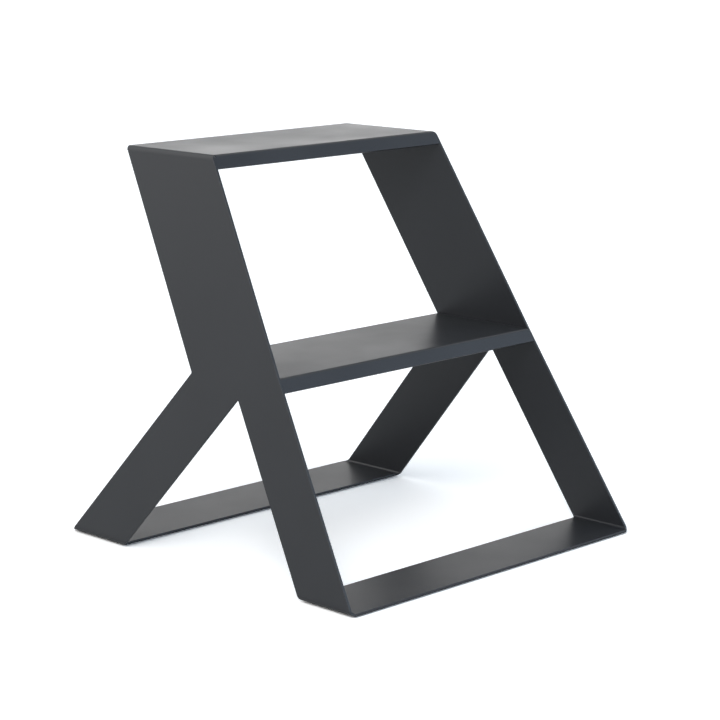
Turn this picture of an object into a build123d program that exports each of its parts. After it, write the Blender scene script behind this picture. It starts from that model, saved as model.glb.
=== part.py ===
from build123d import *
import os
from math import atan2, cos, tan

# A two-step stool, folded and welded from steel sheet. Millimetres.
# X runs across the stool, -Y is its front, +Z is up. The origin is on the floor,
# under the middle of the stool's footprint.

# Driving dimensions of the whole stool
HEIGHT = 450.0              # floor to the upper face of the top tread
DEPTH = 467.0               # front of the front foot to the back of the rear foot
TOP_WIDTH = 350.0           # over the side panels, at the top tread's upper face
FLOOR_WIDTH = 450.0         # over the side panels, at the floor
SHEET = 3.0                 # thickness of every piece of sheet
PAD_THICKNESS = 1.5         # rubber under the feet

# Side panel: a leaning band that splits into two legs
BAND_DEPTH = 146.0          # front edge to rear edge, level
MIDDLE_HEIGHT = 226.5       # floor to the upper face of the middle tread
LOWER_LEAN = 134.5          # how far the front edge goes back, floor to middle tread
UPPER_LEAN = 128.5          # and from the middle tread to the top
CROTCH_HEIGHT = 213.5       # where the rear edge turns down the rear leg
APEX_HEIGHT = 196.0         # top of the gap between the legs
FRONT_LEG_DEPTH = 79.0      # level width of the front leg
REAR_LEG_DEPTH = 94.5       # level width of the rear leg
INNER_CORNER_R = 2.0        # cut radius in the crotch and at the apex

# Folds
SIDE_FOLD_R = 5.5           # outside radius, side panels to top tread and foot bars
LIP_FOLD_R = 4.0            # outside radius, treads to their front lips
LIP_DROP = 14.0             # upper face of a tread down to the lip's lower edge

# Middle tread
MIDDLE_REAR_GAP = 1.5       # its rear edge stops this far inside the panels' rear edge

# Fillet welds under the middle tread and behind the lips
BEAD_LEG = 3.0
BEAD_LENGTH = 28.0
BEAD_COUNT = 3
LIP_BEAD_LENGTH = 7.0

# Rubber floor pads, one under each end of each foot bar
PAD_LENGTH = 60.0
PAD_SETBACK_Y = 8.0         # from the front and rear edges of the foot bar
PAD_SETBACK_X = 12.0        # from the outer end of the foot bar's flat
PAD_CORNER_R = 6.0

# Sizes that follow from the ones above
FRONT_Y = -DEPTH / 2
REAR_Y = DEPTH / 2
FLARE = (FLOOR_WIDTH - TOP_WIDTH) / 2
FLARE_ANGLE = atan2(FLARE, HEIGHT)
RIGHT_ANGLE = atan2(1.0, 0.0)
FOOT_BOTTOM = PAD_THICKNESS
FOOT_TOP = PAD_THICKNESS + SHEET
TREAD_FLAT = TOP_WIDTH / 2 - SIDE_FOLD_R * tan((RIGHT_ANGLE - FLARE_ANGLE) / 2)
FOOT_WIDTH = FLOOR_WIDTH - 2 * FLARE * FOOT_BOTTOM / HEIGHT
FOOT_FLAT = FOOT_WIDTH / 2 - SIDE_FOLD_R * tan((RIGHT_ANGLE + FLARE_ANGLE) / 2)
FOLD_TOP = FOOT_BOTTOM + SIDE_FOLD_R * 1.1      # the side fold has ended at this height
TOP_FOLD_END = HEIGHT - SIDE_FOLD_R
WIDE = 300.0                # half length of shapes that are trimmed afterwards


def front_edge(z):
    """Y of the side panels' front edge at height z."""
    if z < MIDDLE_HEIGHT:
        return FRONT_Y + LOWER_LEAN * z / MIDDLE_HEIGHT
    rise = (z - MIDDLE_HEIGHT) / (HEIGHT - MIDDLE_HEIGHT)
    return FRONT_Y + LOWER_LEAN + UPPER_LEAN * rise


def band_rear(z):
    """Y of the rear edge of the leaning band at height z."""
    return front_edge(z) + BAND_DEPTH


def front_leg_rear(z):
    """Y of the front leg's rear edge at height z."""
    return front_edge(z) + FRONT_LEG_DEPTH


def rear_leg_rear(z):
    """Y of the rear leg's rear edge, a straight line from the crotch to the floor."""
    return REAR_Y + (band_rear(CROTCH_HEIGHT) - REAR_Y) * z / CROTCH_HEIGHT


def rear_leg_front(z):
    """Y of the rear leg's front edge, a straight line from the apex to the floor."""
    foot = REAR_Y - REAR_LEG_DEPTH
    return foot + (front_leg_rear(APEX_HEIGHT) - foot) * z / APEX_HEIGHT


def inner_face(z):
    """Half the clear width between the side panels at height z."""
    return TOP_WIDTH / 2 + FLARE * (HEIGHT - z) / HEIGHT - SHEET / cos(FLARE_ANGLE)


def foot_corner(edge):
    """Outline points where a leg's edge runs round the fold into its foot bar."""
    return [(edge(FOLD_TOP), FOLD_TOP), (edge(0), FOOT_TOP), (edge(0), 0)]


def side_outline():
    """The side panel's outline, seen from the side, as a prism across the stool."""
    points = foot_corner(front_edge)[::-1]
    points += [(front_edge(MIDDLE_HEIGHT), MIDDLE_HEIGHT), (front_edge(HEIGHT), HEIGHT)]
    points += [(band_rear(HEIGHT), HEIGHT), (band_rear(HEIGHT), HEIGHT - SHEET)]
    points += [(band_rear(TOP_FOLD_END), TOP_FOLD_END)]
    points += [(band_rear(CROTCH_HEIGHT), CROTCH_HEIGHT)]
    points += foot_corner(rear_leg_rear) + foot_corner(rear_leg_front)[::-1]
    points += [(front_leg_rear(APEX_HEIGHT), APEX_HEIGHT)]
    points += foot_corner(front_leg_rear)
    face = make_face(Polyline(*points, close=True))
    rounded = [
        (front_edge(HEIGHT), HEIGHT, LIP_FOLD_R),
        (band_rear(CROTCH_HEIGHT), CROTCH_HEIGHT, INNER_CORNER_R),
        (front_leg_rear(APEX_HEIGHT), APEX_HEIGHT, INNER_CORNER_R),
    ]
    for y, z, radius in rounded:
        face = fillet(face.vertices().sort_by_distance((y, z, 0))[0], radius)
    return extrude(Plane.YZ * face, WIDE, both=True)


def frame_section():
    """Outer and inner faces of the folded frame, seen from the front."""
    corners = [(-FOOT_WIDTH / 2, FOOT_BOTTOM), (FOOT_WIDTH / 2, FOOT_BOTTOM)]
    corners += [(TOP_WIDTH / 2, HEIGHT), (-TOP_WIDTH / 2, HEIGHT)]
    sharp = make_face(Polyline(*corners, close=True))
    outer = fillet(sharp.vertices(), SIDE_FOLD_R)
    return outer, offset(outer, -SHEET)


def across(face):
    """Extrude a face drawn in X and Z along the whole depth of the stool."""
    return extrude(Plane.XZ * face, WIDE, both=True)


def split_frame():
    """The two side panels, each with its folds, and the space between their faces."""
    outer, inner = (across(face) for face in frame_section())
    frame = (outer - inner) & side_outline()
    tread_gap = Pos(0, 0, HEIGHT) * Box(2 * TREAD_FLAT, 2 * WIDE, 2 * SHEET)
    foot_gap = Box(2 * FOOT_FLAT, 2 * WIDE, 2 * FOOT_TOP)
    panels = (frame - tread_gap - foot_gap).solids().sort_by(Axis.X)
    return panels[0], panels[-1], inner


def tread(top, rear):
    """A flat tread with a front lip that lies in the plane of the panels' front edges."""
    lip_end = top - LIP_DROP
    path = FilletPolyline(
        (rear, top),
        (front_edge(top), top),
        (front_edge(lip_end), lip_end),
        radius=LIP_FOLD_R,
    )
    section = make_face(offset(path, SHEET, side=Side.LEFT).edges())
    return extrude(Plane.YZ * section, WIDE, both=True)


def top_tread(inner):
    """The top tread reaches the side folds, and its lip the panels' inner faces."""
    flat = Pos(0, 0, HEIGHT) * Box(2 * TREAD_FLAT, 2 * WIDE, 2 * SHEET)
    return tread(HEIGHT, band_rear(HEIGHT)) & (flat + inner)


def middle_tread(inner):
    """The middle tread stands between the panels' inner faces."""
    return tread(MIDDLE_HEIGHT, band_rear(MIDDLE_HEIGHT) - MIDDLE_REAR_GAP) & inner


def foot_bar(front, rear):
    """A flat bar between the folds at the bottom of the two side panels."""
    middle = Pos(0, (front + rear) / 2, (FOOT_BOTTOM + FOOT_TOP) / 2)
    return middle * Box(2 * FOOT_FLAT, rear - front, SHEET)


def tread_weld(side):
    """Stitches in the corner under the middle tread; side is -1 left, 1 right."""
    under = MIDDLE_HEIGHT - SHEET
    low = under - BEAD_LEG
    corner = [(inner_face(under), under), (inner_face(low), low)]
    corner += [(inner_face(under) - BEAD_LEG, under)]
    bead = Polyline(*[(side * x, z) for x, z in corner], close=True)
    start = front_edge(MIDDLE_HEIGHT) + BEAD_LENGTH / 2 + 2 * LIP_FOLD_R
    end = band_rear(MIDDLE_HEIGHT) - BEAD_LENGTH / 2 - 2 * LIP_FOLD_R
    pitch = (end - start) / (BEAD_COUNT - 1)
    stitch = extrude(Plane.XZ * make_face(bead), BEAD_LENGTH / 2, both=True)
    return Compound(children=[Pos(0, start + i * pitch, 0) * stitch for i in range(BEAD_COUNT)])


def lip_weld(top, side):
    """A short bead in the corner between the back of a lip and the panel."""
    lean = atan2(front_edge(top) - front_edge(top - LIP_DROP), LIP_DROP)
    behind = SHEET / cos(lean)
    low = top - LIP_DROP + 2 * BEAD_LEG / 3
    high = low + LIP_BEAD_LENGTH

    def section(z):
        face_y = front_edge(z) + behind
        points = [(side * inner_face(z), face_y), (side * inner_face(z), face_y + BEAD_LEG)]
        points += [(side * (inner_face(z) - BEAD_LEG), face_y)]
        return Pos(0, 0, z) * make_face(Polyline(*points, close=True))

    return loft([section(low), section(high)])


def floor_pad(side, front, rear):
    """A thin rubber pad with round corners, stuck under one end of a foot bar."""
    width = rear - front - 2 * PAD_SETBACK_Y
    x = side * (FOOT_FLAT - PAD_SETBACK_X - PAD_LENGTH / 2)
    outline = RectangleRounded(PAD_LENGTH, width, PAD_CORNER_R)
    return Pos(x, (front + rear) / 2, 0) * extrude(outline, PAD_THICKNESS)


def build():
    """Every node of the stool by name."""
    left, right, inner = split_frame()
    front_foot = (FRONT_Y, FRONT_Y + FRONT_LEG_DEPTH)
    rear_foot = (REAR_Y - REAR_LEG_DEPTH, REAR_Y)
    nodes = {
        "left_side_panel": left,
        "right_side_panel": right,
        "top_tread": top_tread(inner),
        "middle_tread": middle_tread(inner),
        "front_foot_bar": foot_bar(*front_foot),
        "rear_foot_bar": foot_bar(*rear_foot),
    }
    for name, side in (("left", -1), ("right", 1)):
        nodes[f"middle_tread_weld_{name}"] = tread_weld(side)
        nodes[f"middle_lip_weld_{name}"] = lip_weld(MIDDLE_HEIGHT, side)
        nodes[f"top_lip_weld_{name}"] = lip_weld(HEIGHT, side)
        nodes[f"front_floor_pad_{name}"] = floor_pad(side, *front_foot)
        nodes[f"rear_floor_pad_{name}"] = floor_pad(side, *rear_foot)
    return nodes


os.makedirs("parts", exist_ok=True)
for node, shape in build().items():
    export_step(shape, f"parts/{node}.step")
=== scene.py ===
# %% [markdown]
# # A two-step stool folded from steel sheet
#
# This lesson dresses a finished CAD model in Blender. The stool is made like a piece of
# workshop furniture: 3 mm steel sheet is cut, folded, welded in a few short stitches and
# powder coated in one dark satin grey. It has no moving parts, so everything that makes it
# look real is in its folds, its cut edges, its coating and the light.
#
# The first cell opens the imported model. The CAD pieces come in at their real place and
# size, in metres, and they are never moved. We keep the size of their common box, so that
# we can check at the end that the dressed stool is still the size of the drawn one.

from math import cos, pi, radians, sin

import bmesh
import bpy
from mathutils import Matrix, Vector
from mathutils.bvhtree import BVHTree


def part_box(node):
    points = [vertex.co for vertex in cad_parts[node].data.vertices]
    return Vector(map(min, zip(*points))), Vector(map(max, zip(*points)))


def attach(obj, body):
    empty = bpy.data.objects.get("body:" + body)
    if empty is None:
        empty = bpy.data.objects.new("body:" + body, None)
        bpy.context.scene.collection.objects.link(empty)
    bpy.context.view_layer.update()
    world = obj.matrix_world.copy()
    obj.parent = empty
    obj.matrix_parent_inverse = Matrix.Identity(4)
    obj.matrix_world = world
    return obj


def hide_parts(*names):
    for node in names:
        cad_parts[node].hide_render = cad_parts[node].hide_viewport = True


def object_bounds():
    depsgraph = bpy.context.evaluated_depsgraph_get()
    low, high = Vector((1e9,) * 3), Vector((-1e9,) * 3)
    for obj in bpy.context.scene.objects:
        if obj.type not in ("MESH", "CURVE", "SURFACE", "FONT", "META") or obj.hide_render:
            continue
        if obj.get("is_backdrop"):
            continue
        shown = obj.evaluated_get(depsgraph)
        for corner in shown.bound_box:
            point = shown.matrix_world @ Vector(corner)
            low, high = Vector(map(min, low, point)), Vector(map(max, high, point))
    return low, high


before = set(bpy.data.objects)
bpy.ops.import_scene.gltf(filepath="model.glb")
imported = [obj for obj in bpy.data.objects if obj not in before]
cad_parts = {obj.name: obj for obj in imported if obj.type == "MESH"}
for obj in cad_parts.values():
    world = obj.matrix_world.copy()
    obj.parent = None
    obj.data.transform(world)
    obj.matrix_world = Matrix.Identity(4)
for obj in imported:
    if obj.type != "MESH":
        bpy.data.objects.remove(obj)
cad_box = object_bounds()
print("CAD nodes:", sorted(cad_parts))
print("CAD box in mm:", [[round(1000 * c, 1) for c in corner] for corner in cad_box])

# %% [markdown]
# ## The camera
#
# The stool is seen from its front left corner, a little from above, through a long lens
# that keeps its upright lines almost parallel. A camera in Blender looks down its own
# minus Z axis, so we build its pose from three turns: up from the floor by its elevation,
# round the stool by its azimuth, and a very small roll. Then we walk backwards from the
# point we aim at. Turning first and walking afterwards keeps the aim point in the middle
# of the frame whatever distance we choose.

# %% Set up the camera
AZIMUTH = radians(-44.65)       # 0 looks along +Y, from the front
ELEVATION = radians(11.62)      # above the horizontal
ROLL = radians(-0.25)
DISTANCE = 2.552                # camera to aim point, metres
LENS = 112.94                   # millimetres, on a sensor 36 mm wide
AIM = Vector((-0.0096, -0.0286, 0.2091))

turn = Matrix.Rotation(AZIMUTH, 4, "Z") @ Matrix.Rotation(pi / 2 - ELEVATION, 4, "X")
camera_data = bpy.data.cameras.new("studio_camera")
camera_data.lens = LENS
camera_data.sensor_width = 36
camera = bpy.data.objects.new("studio_camera", camera_data)
bpy.context.scene.collection.objects.link(camera)
backwards = turn @ Vector((0, 0, DISTANCE))
camera.matrix_world = Matrix.Translation(AIM + backwards) @ turn @ Matrix.Rotation(ROLL, 4, "Z")
bpy.context.scene.camera = camera
print("camera stands at", [round(c, 3) for c in camera.matrix_world.translation])

# %% [markdown]
# ## The floor and the light
#
# Dark satin metal has little colour of its own: most of what the eye reads on it is the
# room it reflects. So the floor matters twice. Mirrored in the side panels it should be
# a mid grey, because that gives them their slow fade towards the feet, but looked at
# directly it should be almost white. A Light Path node lets one matt floor do both: rays
# that come straight from the camera meet a brighter tone than rays that bounced off the
# stool. Both tones are lit by the same lamps, so the soft shadow under the stool is real.
# A floor that glowed by itself would be simpler, but it would fill that shadow with light.

# %% Lay the floor
FLOOR_RADIUS = 40.0
FLOOR_SEGMENTS = 96
FLOOR_GREY = (0.53, 0.53, 0.53, 1)        # in reflections
FLOOR_SEEN = (1.26, 1.25, 1.235, 1)       # to the eye
MOTTLE_PER_METRE = 60.0
MOTTLE_HEIGHT = 0.0002


def new_nodes(owner):
    """Empty the node tree of a material or a world and hand it over."""
    owner.use_nodes = True
    owner.node_tree.nodes.clear()
    return owner.node_tree


def add(tree, kind, inputs=None, **settings):
    """Add one node, with its settings, and give its sockets a value or a link."""
    node = tree.nodes.new(kind)
    for key, value in settings.items():
        setattr(node, key, value)
    for key, value in (inputs or {}).items():
        if isinstance(value, bpy.types.NodeSocket):
            tree.links.new(value, node.inputs[key])
        else:
            node.inputs[key].default_value = value
    return node


def floor_material():
    """A matt floor, mid grey in reflections and brighter to the eye."""
    material = bpy.data.materials.new("studio_floor")
    tree = new_nodes(material)
    place = add(tree, "ShaderNodeTexCoord").outputs["Object"]
    mottle = add(tree, "ShaderNodeTexNoise",
                 {"Vector": place, "Scale": MOTTLE_PER_METRE, "Detail": 4.0})
    grain = add(tree, "ShaderNodeBump", {"Height": mottle.outputs[0], "Distance": MOTTLE_HEIGHT})
    ray = add(tree, "ShaderNodeLightPath").outputs["Is Camera Ray"]
    tone = add(tree, "ShaderNodeMix", {0: ray, 6: FLOOR_GREY, 7: FLOOR_SEEN}, data_type="RGBA")
    matt = add(tree, "ShaderNodeBsdfDiffuse", {"Color": tone.outputs[2], "Normal": grain.outputs[0]})
    add(tree, "ShaderNodeOutputMaterial", {"Surface": matt.outputs[0]})
    return material


def mesh_object(name, shell):
    """Turn a bmesh into an object in the scene."""
    mesh = bpy.data.meshes.new(name)
    shell.to_mesh(mesh)
    shell.free()
    made = bpy.data.objects.new(name, mesh)
    bpy.context.scene.collection.objects.link(made)
    return made


disc = bmesh.new()
bmesh.ops.create_circle(disc, cap_ends=True, segments=FLOOR_SEGMENTS, radius=FLOOR_RADIUS)
floor = mesh_object("studio_floor", disc)
floor.data.materials.append(floor_material())
floor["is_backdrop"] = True
print("floor at height", floor.location.z, "and", 2 * FLOOR_RADIUS, "m across")

# %% [markdown]
# The room is painted in the world's background, from the direction of each ray. Treads
# and foot bars are seen at a glancing angle and mirror the wall behind the stool: a bright
# strip low on that wall gives the top tread its pale sheen and leaves the lower pieces
# darker, and a dimmer glow above it softens the mirror images on the treads. The side
# walls light the panels. At the front right a low window lets in cool daylight. It sets
# the two lips apart from the panels, and it is low so that the cut edges, which lean
# back, mirror less of it. A cool glow overhead lifts the upper faces a little.
#
# One real lamp is added, a square softbox at the front left, where the broken front edges
# mirror it. At this size it throws no hard shadow. A painted room needs no walls, so none
# gets in the camera's way. The Standard view keeps white as white.

# %% Switch on the light
# A fade is a pair: the sines of the elevation where a light starts and stops to change.
# A spread is a pair too: the shares of a side's own direction where it comes in.
BACKDROP_GLOW = 4.30            # a bright strip low on the wall behind the stool
BACKDROP_FADE = (0.08, 0.17)
REAR_WALL = 0.46                # the rest of that wall
REAR_FADE = (0.35, 0.70)
REAR_SPREAD = (0.45, 0.85)
SIDE_WALLS = 1.28               # the walls left, right and behind the camera
SIDE_FADE = (0.70, 0.95)
CEILING = 0.10
WALL_COLOUR = (1, 1, 1, 1)
WINDOW = 2.60                   # the window at the front right, lower than the walls
WINDOW_FADE = (0.27, 0.52)
WINDOW_SIDE = (0.5, -0.86, 0)   # from the stool towards the window
WINDOW_SPREAD = (0.35, 0.85)
WINDOW_COLOUR = (0.71, 0.86, 1.06, 1)
ROOF_GLOW = 0.8                 # a soft light right overhead
ROOF_FADE = (0.75, 0.90)
ROOF_COLOUR = (0.80, 0.91, 1.0, 1)


def studio_world():
    """A rear wall with a bright low strip, side walls, a low window and a soft roof light."""
    world = bpy.data.worlds.new("studio_room")
    tree = new_nodes(world)
    direction = add(tree, "ShaderNodeTexCoord").outputs["Generated"]
    rise = add(tree, "ShaderNodeSeparateXYZ", {0: direction}).outputs[2]

    def side(towards, spread):
        near = add(tree, "ShaderNodeVectorMath", {0: direction, 1: towards}, operation="DOT_PRODUCT")
        start, end = spread
        node = add(tree, "ShaderNodeMapRange", {0: near.outputs["Value"], 1: start, 2: end})
        return node.outputs[0]

    def fade(heights, below, above):
        start, end = heights
        node = add(tree, "ShaderNodeMapRange", {0: rise, 1: start, 2: end, 3: below, 4: above})
        return node.outputs[0]

    def blend(share, one, other):
        return add(tree, "ShaderNodeMix", {0: share, 2: one, 3: other}).outputs[0]

    away = turn @ Vector((0, 0, -1))
    rear = side((away.x, away.y, 0), REAR_SPREAD)
    window = side(WINDOW_SIDE, WINDOW_SPREAD)
    strip_light = fade(BACKDROP_FADE, BACKDROP_GLOW, 0.0)
    rear_wall = fade(REAR_FADE, REAR_WALL, CEILING)
    side_walls = fade(SIDE_FADE, SIDE_WALLS, CEILING)
    window_light = fade(WINDOW_FADE, WINDOW, CEILING)
    roof = fade(ROOF_FADE, 0.0, ROOF_GLOW)
    backdrop = add(tree, "ShaderNodeMath", {0: strip_light, 1: rear_wall}, operation="ADD")
    walls = blend(rear, blend(window, side_walls, window_light), backdrop.outputs[0])
    tint = add(tree, "ShaderNodeMix", {0: window, 6: WALL_COLOUR, 7: WINDOW_COLOUR}, data_type="RGBA")
    room = add(tree, "ShaderNodeBackground", {"Color": tint.outputs[2], "Strength": walls})
    sky = add(tree, "ShaderNodeBackground", {"Color": ROOF_COLOUR, "Strength": roof})
    both = add(tree, "ShaderNodeAddShader", {0: room.outputs[0], 1: sky.outputs[0]})
    add(tree, "ShaderNodeOutputWorld", {"Surface": both.outputs[0]})
    return world


bpy.context.scene.world = studio_world()

KEY_SIZE = 1.0
KEY_WATTS = 22.0
KEY_PLACE = Vector((-1.60, -1.15, 1.80))

key_light = bpy.data.lights.new("key_softbox", "AREA")
key_light.size = KEY_SIZE
key_light.energy = KEY_WATTS
key = bpy.data.objects.new("key_softbox", key_light)
key.location = KEY_PLACE
key.rotation_euler = (KEY_PLACE - AIM).to_track_quat("Z", "Y").to_euler()
bpy.context.scene.collection.objects.link(key)
bpy.context.scene.view_settings.view_transform = "Standard"
print("backdrop", BACKDROP_GLOW, "side walls", SIDE_WALLS, "roof light", ROOF_GLOW)

# %% [markdown]
# ## The powder coat
#
# Powder coat is a plastic dust that is sprayed on dry and baked until it flows. It never
# flows quite flat, which leaves the fine ripple called orange peel. Under the ripple is a
# still finer grain, the coat is a little thicker in some places than in others, and it
# pulls thin over every sharp edge, where the grey turns lighter and shinier.
#
# All of this could be painted in an image, but the pieces have no unwrapped skin and the
# grain would need a huge picture. Noise that is worked out in space needs neither, and it
# runs on across the joints between pieces. Its scale is simply waves per metre.

# %% Mix the powder coat
COAT_GREY = (0.0155, 0.0170, 0.0200)      # anthracite, a trace of blue
PEEL_PER_METRE = 420.0
GRAIN_PER_METRE = 2400.0
CLOUDS_PER_METRE = 11.0
GRAIN_HEIGHT = 0.00002
THICKNESS_TINT = 0.12           # shares by which the grey turns darker or lighter
FLECK_TINT = 0.6
WORN_TINT = 0.9


def tinted(colour, share):
    """The colour made lighter or darker by a share of itself."""
    return [channel * (1 + share) for channel in colour] + [1]


def powder_coat(name, roughness, peel_height):
    """Baked powder coat; its gloss and the height of its orange peel are the maker's choice."""
    material = bpy.data.materials.new(name)
    tree = new_nodes(material)
    place = add(tree, "ShaderNodeTexCoord").outputs["Object"]

    def noise(per_metre, detail):
        return add(tree, "ShaderNodeTexNoise",
                   {"Vector": place, "Scale": per_metre, "Detail": detail}).outputs[0]

    clouds = noise(CLOUDS_PER_METRE, 3.0)
    peel = noise(PEEL_PER_METRE, 1.0)
    grain = noise(GRAIN_PER_METRE, 2.0)
    edge = add(tree, "ShaderNodeAttribute", attribute_name="worn_edge").outputs["Fac"]

    thick = add(tree, "ShaderNodeMix", {0: clouds, 6: tinted(COAT_GREY, -THICKNESS_TINT),
                                        7: tinted(COAT_GREY, THICKNESS_TINT)}, data_type="RGBA")
    fleck = add(tree, "ShaderNodeMapRange", {0: grain, 1: 0.55, 2: 0.75, 3: 0.0, 4: 0.35})
    flecked = add(tree, "ShaderNodeMix", {0: fleck.outputs[0], 6: thick.outputs[2],
                                          7: tinted(COAT_GREY, FLECK_TINT)}, data_type="RGBA")
    thin = add(tree, "ShaderNodeMath", {0: edge, 1: 0.5}, operation="MULTIPLY")
    colour = add(tree, "ShaderNodeMix", {0: thin.outputs[0], 6: flecked.outputs[2],
                                         7: tinted(COAT_GREY, WORN_TINT)}, data_type="RGBA")

    satin = add(tree, "ShaderNodeMapRange", {0: clouds, 1: 0.3, 2: 0.7,
                                             3: roughness - 0.03, 4: roughness + 0.03})
    rubbed = add(tree, "ShaderNodeMath", {0: edge, 1: -0.06, 2: satin.outputs[0]},
                 operation="MULTIPLY_ADD")
    fine = add(tree, "ShaderNodeBump", {"Height": grain, "Strength": 0.5,
                                        "Distance": GRAIN_HEIGHT})
    skin = add(tree, "ShaderNodeBump", {"Height": peel, "Strength": 0.6,
                                        "Distance": peel_height,
                                        "Normal": fine.outputs[0]})
    coat = add(tree, "ShaderNodeBsdfPrincipled", {"Base Color": colour.outputs[2],
                                                  "Roughness": rubbed.outputs[0],
                                                  "Normal": skin.outputs[0], "IOR": 1.5})
    add(tree, "ShaderNodeOutputMaterial", {"Surface": coat.outputs[0]})
    return material


sheet_coat = powder_coat("satin_powder_coat", roughness=0.37, peel_height=0.00006)
weld_coat = powder_coat("powder_coat_over_weld", roughness=0.34, peel_height=0.00003)
print("coats mixed:", sheet_coat.name, weld_coat.name)

# %% [markdown]
# ## Reading a CAD piece
#
# A CAD piece arrives as many small triangles, and their corners are doubled wherever two
# faces meet. Joining the doubles and dissolving the lines between coplanar triangles
# gives back the flat faces that the sheet was drawn with. We only read this copy: it
# tells us where the sheet ends, and the piece that is shown is built from that.

# %% Clean copies of CAD pieces
JOIN_DISTANCE = 1e-6
FLAT_WITHIN = 0.005             # radians between triangles of one flat face


def drawn_solid(node):
    """A bmesh of a CAD piece with its flat faces whole again."""
    solid = bmesh.new()
    solid.from_mesh(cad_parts[node].data)
    bmesh.ops.remove_doubles(solid, verts=solid.verts, dist=JOIN_DISTANCE)
    bmesh.ops.dissolve_limit(solid, angle_limit=FLAT_WITHIN, verts=solid.verts, edges=solid.edges)
    return solid


bar_low, bar_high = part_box("front_foot_bar")
SHEET = bar_high.z - bar_low.z
print("the sheet is", round(1000 * SHEET, 2), "mm thick")

# %% [markdown]
# ## Breaking the edges
#
# Sheet leaves the laser with edges that cut the hand, so they are broken before coating,
# and the coat rounds them further. On a dark stool these narrow rounds help to draw the
# outline, as each one mirrors another part of the room than the faces beside it. A bevel
# in the mesh does this, with three steps so that it shades as a curve.
#
# Two sorts of edge stay as they are: the gentle ones inside a fold, and the ends where
# one piece runs on into the next, which must meet with no line between them. Those end
# faces carry a mark. The bevel also writes a value to each point, 1 on the crest of the
# round and 0 elsewhere, and the coat reads that value to wear thin there.

# %% Round the edges and finish a sheet piece
EDGE_ROUND = 0.0006
EDGE_STEPS = 3
SHARP_FROM = radians(40)


def break_edges(shell, joined):
    """Round the sharp edges of a sheet, but not those of its joined end faces."""
    sharp = [
        edge for edge in shell.edges
        if edge.calc_face_angle(0) > SHARP_FROM and not any(f[joined] for f in edge.link_faces)
    ]
    made = bmesh.ops.bevel(shell, geom=sharp, offset=EDGE_ROUND, offset_type="OFFSET",
                           segments=EDGE_STEPS, profile=0.5, affect="EDGES", clamp_overlap=True)
    rounds = set(made["faces"])
    worn = shell.verts.layers.float.new("worn_edge")
    for point in shell.verts:
        point[worn] = float(all(face in rounds for face in point.link_faces))


def finish_sheet(name, node, shell, joined):
    """Break a sheet's edges, coat it and put it in the place of its CAD node."""
    bmesh.ops.recalc_face_normals(shell, faces=shell.faces)
    break_edges(shell, joined)
    for face in shell.faces:
        face.smooth = True
        if face[joined]:
            for edge in face.edges:
                edge.smooth = False
    piece = mesh_object(name, shell)
    piece.data.materials.append(sheet_coat)
    shading = piece.modifiers.new("shade_flats_flat", "WEIGHTED_NORMAL")
    shading.keep_sharp = True
    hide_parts(node)
    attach(piece, "root")
    print(name, "has", len(piece.data.polygons), "faces")
    return piece


# %% [markdown]
# ## The treads and the foot bars
#
# Each tread is one strip of sheet with its front edge folded down into a lip, and each
# foot bar is a plain flat strip. Seen from its end, such a piece is a bent bar of even
# thickness, and the stool is the same on both sides. So we take the ring of points round
# the left end, mirror it to the right, and stretch one long face between each pair of
# points. The folds come out with straight lines along them, as a press brake makes them.

# %% Build the strips that run across the stool
ACROSS = {
    "top_tread": "top_tread_folded_sheet",
    "middle_tread": "middle_tread_folded_sheet",
    "front_foot_bar": "front_foot_bar_sheet",
    "rear_foot_bar": "rear_foot_bar_sheet",
}


def left_end_ring(node):
    """The points round the left end of a strip, in order."""
    solid = drawn_solid(node)
    is_end = {face: all(v.co.x < 0 for v in face.verts) for face in solid.faces}
    rim = [e for e in solid.edges if sum(is_end[f] for f in e.link_faces) == 1]
    rim = [e for e in rim if len(e.link_faces) == 2]
    neighbours = {}
    for edge in rim:
        for here, there in (edge.verts, reversed(edge.verts)):
            neighbours.setdefault(here, []).append(there)
    start = rim[0].verts[0]
    ring, previous, here = [], None, start
    while not ring or here != start:
        ring.append(here.co.copy())
        ahead = [v for v in neighbours[here] if v != previous]
        previous, here = here, ahead[0]
    solid.free()
    return ring


def strip(node, name):
    """A strip of sheet between the left end ring and its mirror image."""
    ring = left_end_ring(node)
    shell = bmesh.new()
    joined = shell.faces.layers.int.new("joined_end")
    left = [shell.verts.new(point) for point in ring]
    right = [shell.verts.new((-point.x, point.y, point.z)) for point in ring]
    for i in range(len(ring)):
        shell.faces.new((left[i - 1], left[i], right[i], right[i - 1]))
    for end in (left, right):
        shell.faces.new(end)[joined] = 1
    return finish_sheet(name, node, shell, joined)


for node, name in ACROSS.items():
    strip(node, name)

# %% [markdown]
# ## The side panels
#
# A side panel is the part that carries everything: a leaning band that splits into two
# legs, folded inwards at the top to meet the tread and at the bottom to meet the foot
# bars. It could be cut from a thick block, but the folds would then be guesswork. We
# build it as the press brake does: one flat blank, and round its ends a fan of straight
# lines that turn about the centre of the fold.
#
# The blank's outline is read from the CAD face, and each line of a fold needs two ends.
# At the bottom both ends of a leg glide evenly from the corners of the blank to the ends
# of the foot bar, and so does the rear end of the top fold. The front end of the top fold
# follows the tread's lip and is found with a ray: we shoot along the stool inside the
# sheet and note where it first meets the metal.

# %% Measure the folds
FOLD_RADIUS = 0.0055            # outside radius of the side folds
FOLD_STEPS = 9
LEVEL = 0.0003                  # points nearer than this in height are level
FOLLOW = Vector((0, 1, 0))      # a ray runs from front to back
SINK = 0.02                     # share of the way from a skin to the middle of the sheet


def first_metal(solid, start):
    """How far along the stool a line first meets a solid, coming from the front."""
    return solid.ray_cast(Vector((start.x, -1.0, start.z)), FOLLOW)[0].y


def between(start, end, share):
    """Each value of one list on its way to the same value of another."""
    return [a + (b - a) * share for a, b in zip(start, end)]


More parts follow.
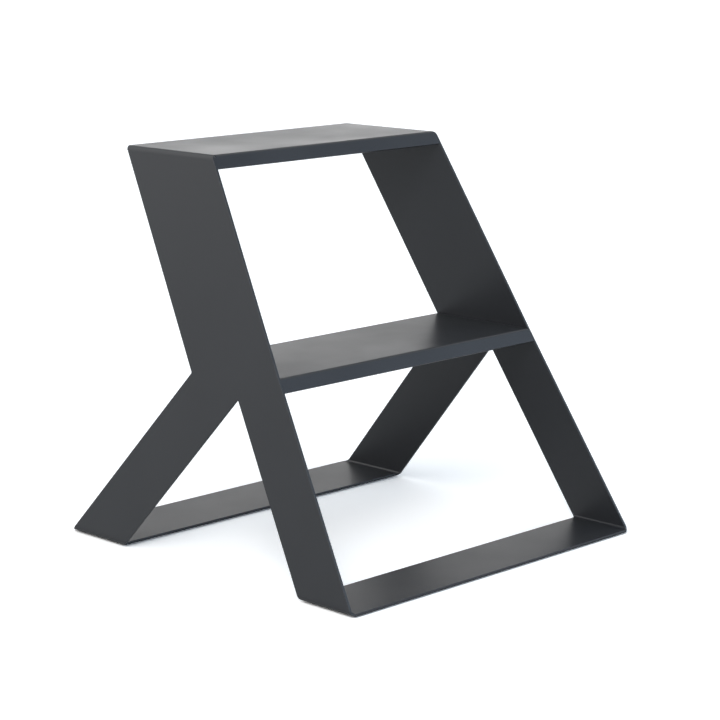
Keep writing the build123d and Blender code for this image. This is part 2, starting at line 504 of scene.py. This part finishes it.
def fold_rows(side, centre, first, last, ends_at):
    """Rows of points round one fold. A row has the ends on the outer and the inner skin."""
    def spoke(angle):
        return Vector((side * cos(angle), 0, sin(angle)))

    core = centre + spoke((first + last) / 2) * (FOLD_RADIUS - SHEET / 2)
    rows = []
    for step in range(FOLD_STEPS + 1):
        share = step / FOLD_STEPS
        row = []
        for radius in (FOLD_RADIUS, FOLD_RADIUS - SHEET):
            place = centre + spoke(first + (last - first) * share) * radius
            ends = ends_at(share, place.lerp(core, SINK))
            row.append([Vector((place.x, y, place.z)) for y in ends])
        rows.append(row)
    return rows


# %% [markdown]
# With the rows measured, the mesh is a matter of joining neighbours. `skin_fold` lays the
# outer skin, the inner skin and the two cut edges between one row and the next.
# `skin_blank` closes the flat part: one face outside, one inside, and a narrow cut edge
# all round, except where a fold takes over.

# %% Join the rows of a fold
def skin_fold(shell, rows, joined):
    """Faces round one fold, for every leg that it crosses."""
    for near, far in zip(rows, rows[1:]):
        for k in range(0, len(near[0]), 2):
            for skin in (0, 1):
                shell.faces.new((near[skin][k], near[skin][k + 1], far[skin][k + 1], far[skin][k]))
            for end in (k, k + 1):
                shell.faces.new((near[0][end], far[0][end], far[1][end], near[1][end]))
    outer, inner = rows[-1]
    for k in range(0, len(outer), 2):
        shell.faces.new((outer[k], outer[k + 1], inner[k + 1], inner[k]))[joined] = 1


def skin_blank(shell, outline, step_in, folds):
    """The flat part of a panel, between the first rows of its folds."""
    outer, inner, fold_of = [], [], []
    for corner in outline:
        near = [
            (a, b, index) for index, rows in enumerate(folds) for a, b in zip(*rows[0])
            if abs(a.co.z - corner.z) < LEVEL
        ]
        if near:
            a, b, index = min(near, key=lambda pair: abs(pair[0].co.y - corner.y))
        else:
            a, b, index = shell.verts.new(corner), shell.verts.new(corner + step_in), None
        outer.append(a)
        inner.append(b)
        fold_of.append(index)
    shell.faces.new(outer)
    shell.faces.new(inner)
    for i in range(len(outer)):
        if fold_of[i] is None or fold_of[i] != fold_of[i - 1]:
            shell.faces.new((outer[i - 1], outer[i], inner[i], inner[i - 1]))


# %% [markdown]
# Now the two panels. The biggest face that looks outwards is the blank, and its normal
# gives the angle at which the panel leans. The centre of each fold sits one radius below
# the tread's upper face or above the foot bar's underside, at the seam with that piece.

# %% Build the side panels
def outer_face(solid, side):
    """The largest flat face that looks away from the stool."""
    facing = [face for face in solid.faces if side * face.normal.x > 0.9]
    return max(facing, key=lambda face: face.calc_area())


def side_panel(node, side):
    """A side panel with its top fold and the folds at the bottom of its legs."""
    solid = drawn_solid(node)
    blank = outer_face(solid, side)
    outline = [vert.co.copy() for vert in blank.verts]
    lean = Vector((side, 0, 0)).angle(blank.normal)
    probe = BVHTree.FromBMesh(solid)
    low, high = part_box(node)
    tread_seam = low.x if side > 0 else high.x
    top = Vector((tread_seam, 0, high.z - FOLD_RADIUS))
    bottom = Vector((side * bar_high.x, 0, low.z + FOLD_RADIUS))
    levels = [corner.z for corner in outline]
    shoulders = sorted(c.y for c in outline if max(levels) - c.z < LEVEL)
    ankles = sorted(c.y for c in outline if c.z - min(levels) < LEVEL)
    toes = [corner.y for bar in ("front_foot_bar", "rear_foot_bar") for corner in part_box(bar)]
    tread_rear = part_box("top_tread")[1].y

    def top_ends(share, place):
        return [first_metal(probe, place)] + between(shoulders[-1:], [tread_rear], share)

    def foot_ends(share, place):
        return between(ankles, toes, share)

    folds = [
        fold_rows(side, top, lean, pi / 2, top_ends),
        fold_rows(side, bottom, lean, -pi / 2, foot_ends),
    ]
    solid.free()

    shell = bmesh.new()
    joined = shell.faces.layers.int.new("joined_end")
    folds = [
        [[[shell.verts.new(place) for place in skin] for skin in row] for row in rows]
        for rows in folds
    ]
    for rows in folds:
        print(node, "fold crosses", len(rows[0][0]) // 2, "band(s)")
        skin_fold(shell, rows, joined)
    skin_blank(shell, outline, Vector((-side * SHEET / cos(lean), 0, 0)), folds)
    return finish_sheet(node + "_folded_sheet", node, shell, joined)


for node, side in (("left_side_panel", -1), ("right_side_panel", 1)):
    side_panel(node, side)

# %% [markdown]
# ## The welds
#
# The middle tread hangs between the panels on short fillet welds under its ends, and the
# ends of both lips are tacked from behind. A hand-laid bead is a row of overlapping
# puddles, so its surface is a string of small crescents. The CAD has plain three-cornered
# prisms there. We keep their legs and length, bulge the open side a little, ripple it,
# and let both ends run out in a round.

# %% Lay the weld beads
RIPPLE_PITCH = 0.0014
RIPPLE_HEIGHT = 0.07            # share of the bead's size
CRESCENT = 0.0009               # how far the middle of a ripple trails its sides
ROUND_STEPS = 8
RINGS_PER_RIPPLE = 5
RIPPLE_MIDDLE = 0.6             # the ripple swings round this share of its own height
BULGE = 0.6                     # 0 is a flat face, 1 a quarter circle
END_SIZE = 0.05                 # share of the section left at the very end of a bead


def loose_parts(node):
    """The separate solids of a CAD node, as lists of points."""
    solid = drawn_solid(node)
    waiting = set(solid.verts)
    parts = []
    while waiting:
        group, edge_of_group = set(), [next(iter(waiting))]
        while edge_of_group:
            point = edge_of_group.pop()
            if point not in group:
                group.add(point)
                edge_of_group += [e.other_vert(point) for e in point.link_edges]
        waiting -= group
        parts.append([point.co.copy() for point in group])
    solid.free()
    return sorted(parts, key=lambda part: min(tuple(p) for p in part))


def bead_section(points):
    """Root, toe on the panel and toe on the tread of one end of a weld prism."""
    root = min(points, key=lambda p: sum((p - q).length for q in points))
    toes = sorted((p for p in points if p is not root), key=lambda p: -abs(p.x))
    return root, toes[0], toes[1]


def add_bead(shell, part, axis):
    """One rippled bead along the given axis of its prism."""
    ordered = sorted(part, key=lambda p: p[axis])
    first, last = bead_section(ordered[:3]), bead_section(ordered[3:])
    length = (last[0] - first[0]).length
    leg = (first[1] - first[0]).length
    count = round(length / RIPPLE_PITCH * RINGS_PER_RIPPLE)
    rings = []
    for i in range(count + 1):
        along = length * i / count
        run_out = min(1.0, min(along, length - along) / leg)
        size = max(END_SIZE, (1 - (1 - run_out) ** 2) ** 0.5)
        root, panel_toe, tread_toe = (a.lerp(b, i / count) for a, b in zip(first, last))
        ring = [shell.verts.new(root)]
        for j in range(ROUND_STEPS + 1):
            share = j / ROUND_STEPS
            up, out = cos(share * pi / 2), sin(share * pi / 2)
            phase = (along + CRESCENT * sin(share * pi)) / RIPPLE_PITCH
            ripple = size * (1 + RIPPLE_HEIGHT * (abs(sin(pi * phase)) - RIPPLE_MIDDLE))
            to_panel = ripple * (BULGE * up + (1 - BULGE) * (1 - share))
            to_tread = ripple * (BULGE * out + (1 - BULGE) * share)
            place = root + (panel_toe - root) * to_panel + (tread_toe - root) * to_tread
            ring.append(shell.verts.new(place))
        rings.append(ring)
    for near, far in zip(rings, rings[1:]):
        for k in range(len(near)):
            shell.faces.new((near[k - 1], near[k], far[k], far[k - 1]))
    shell.faces.new(rings[0])
    shell.faces.new(rings[-1])


def weld(node, axis):
    """All the beads of one CAD weld node, as one piece."""
    shell = bmesh.new()
    parts = loose_parts(node)
    for part in parts:
        add_bead(shell, part, axis)
    bmesh.ops.recalc_face_normals(shell, faces=shell.faces)
    for face in shell.faces:
        face.smooth = True
    piece = mesh_object(node + "_beads", shell)
    piece.data.materials.append(weld_coat)
    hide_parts(node)
    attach(piece, "root")
    print(piece.name, "has", len(parts), "bead(s)")


for side in ("left", "right"):
    weld("middle_tread_weld_" + side, axis=1)
    weld("middle_lip_weld_" + side, axis=2)
    weld("top_lip_weld_" + side, axis=2)

# %% [markdown]
# ## The rubber pads
#
# Four thin pads keep the coated steel off the floor. Each is punched from rubber sheet with
# round corners, and the punch leaves its lower rim slightly soft. We stack a few rounded
# rectangles, each a little smaller or larger than the one above, and close both faces.
# The rubber is nearly black, quite dull, and has the fine pores of a moulded sheet.

# %% Make the rubber
RUBBER_DARK = (0.014, 0.014, 0.015, 1)
RUBBER_DUSTY = (0.034, 0.033, 0.032, 1)
PORES_PER_METRE = 1800.0
PORE_DEPTH = 0.00006
DUST_PER_METRE = 90.0


def rubber_material():
    """Dull black rubber sheet with fine pores and a little floor dust."""
    material = bpy.data.materials.new("floor_rubber")
    tree = new_nodes(material)
    place = add(tree, "ShaderNodeTexCoord").outputs["Object"]
    pores = add(tree, "ShaderNodeTexVoronoi", {"Vector": place, "Scale": PORES_PER_METRE})
    dust = add(tree, "ShaderNodeTexNoise",
               {"Vector": place, "Scale": DUST_PER_METRE, "Detail": 5.0})
    colour = add(tree, "ShaderNodeMix",
                 {0: dust.outputs[0], 6: RUBBER_DARK, 7: RUBBER_DUSTY}, data_type="RGBA")
    dull = add(tree, "ShaderNodeMapRange", {0: dust.outputs[0], 3: 0.72, 4: 0.92})
    pitted = add(tree, "ShaderNodeBump", {"Height": pores.outputs[0], "Strength": 0.6,
                                          "Distance": PORE_DEPTH})
    rubber = add(tree, "ShaderNodeBsdfPrincipled", {"Base Color": colour.outputs[2],
                                                    "Roughness": dull.outputs[0],
                                                    "Normal": pitted.outputs[0], "IOR": 1.52})
    add(tree, "ShaderNodeOutputMaterial", {"Surface": rubber.outputs[0]})
    return material


floor_rubber = rubber_material()
print("rubber mixed:", floor_rubber.name)

# %% Punch the pads
PAD_CORNER = 0.006
PAD_CORNER_STEPS = 8
# each ring of the rim: its share of the pad's height, and how far it is set in, in metres
PAD_RIM = [(0.0, 0.00045), (0.12, 0.00016), (0.4, 0.0), (0.85, 0.0), (1.0, 0.00012)]


def rounded_rectangle(low, high, inset, z):
    """Points round a rectangle with round corners, at one height."""
    radius = PAD_CORNER - inset
    centres = [(high.x, high.y, 0), (low.x, high.y, 1), (low.x, low.y, 2), (high.x, low.y, 3)]
    points = []
    for x, y, quarter in centres:
        corner_x = x + (PAD_CORNER if x == low.x else -PAD_CORNER)
        corner_y = y + (PAD_CORNER if y == low.y else -PAD_CORNER)
        for step in range(PAD_CORNER_STEPS + 1):
            angle = pi / 2 * (quarter + step / PAD_CORNER_STEPS)
            points.append((corner_x + radius * cos(angle), corner_y + radius * sin(angle), z))
    return points


def floor_pad(node):
    """One rubber pad in the place of its CAD node."""
    low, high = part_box(node)
    shell = bmesh.new()
    rings = []
    for share, inset in PAD_RIM:
        ring = rounded_rectangle(low, high, inset, low.z + share * (high.z - low.z))
        rings.append([shell.verts.new(point) for point in ring])
    for near, far in zip(rings, rings[1:]):
        for k in range(len(near)):
            shell.faces.new((near[k - 1], near[k], far[k], far[k - 1]))
    shell.faces.new(rings[0])
    shell.faces.new(rings[-1])
    bmesh.ops.recalc_face_normals(shell, faces=shell.faces)
    for face in shell.faces:
        face.smooth = True
    piece = mesh_object(node + "_rubber", shell)
    piece.data.materials.append(floor_rubber)
    shading = piece.modifiers.new("shade_flats_flat", "WEIGHTED_NORMAL")
    shading.keep_sharp = True
    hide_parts(node)
    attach(piece, "root")
    return piece


for end in ("front", "rear"):
    for side in ("left", "right"):
        pad = floor_pad(f"{end}_floor_pad_{side}")
        print(pad.name, [round(1000 * c, 1) for c in pad.dimensions], "mm")

# %% [markdown]
# ## Check the size
#
# The dressed stool has to be the size of the drawn one. We measure the box again and print how far it
# differs from the drawn box.

# %% Compare the sizes
shown_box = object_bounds()
grown = max(abs(a - b) for old, new in zip(cad_box, shown_box) for a, b in zip(old, new))
print("largest difference between the two boxes:", round(1000 * grown, 3), "mm")
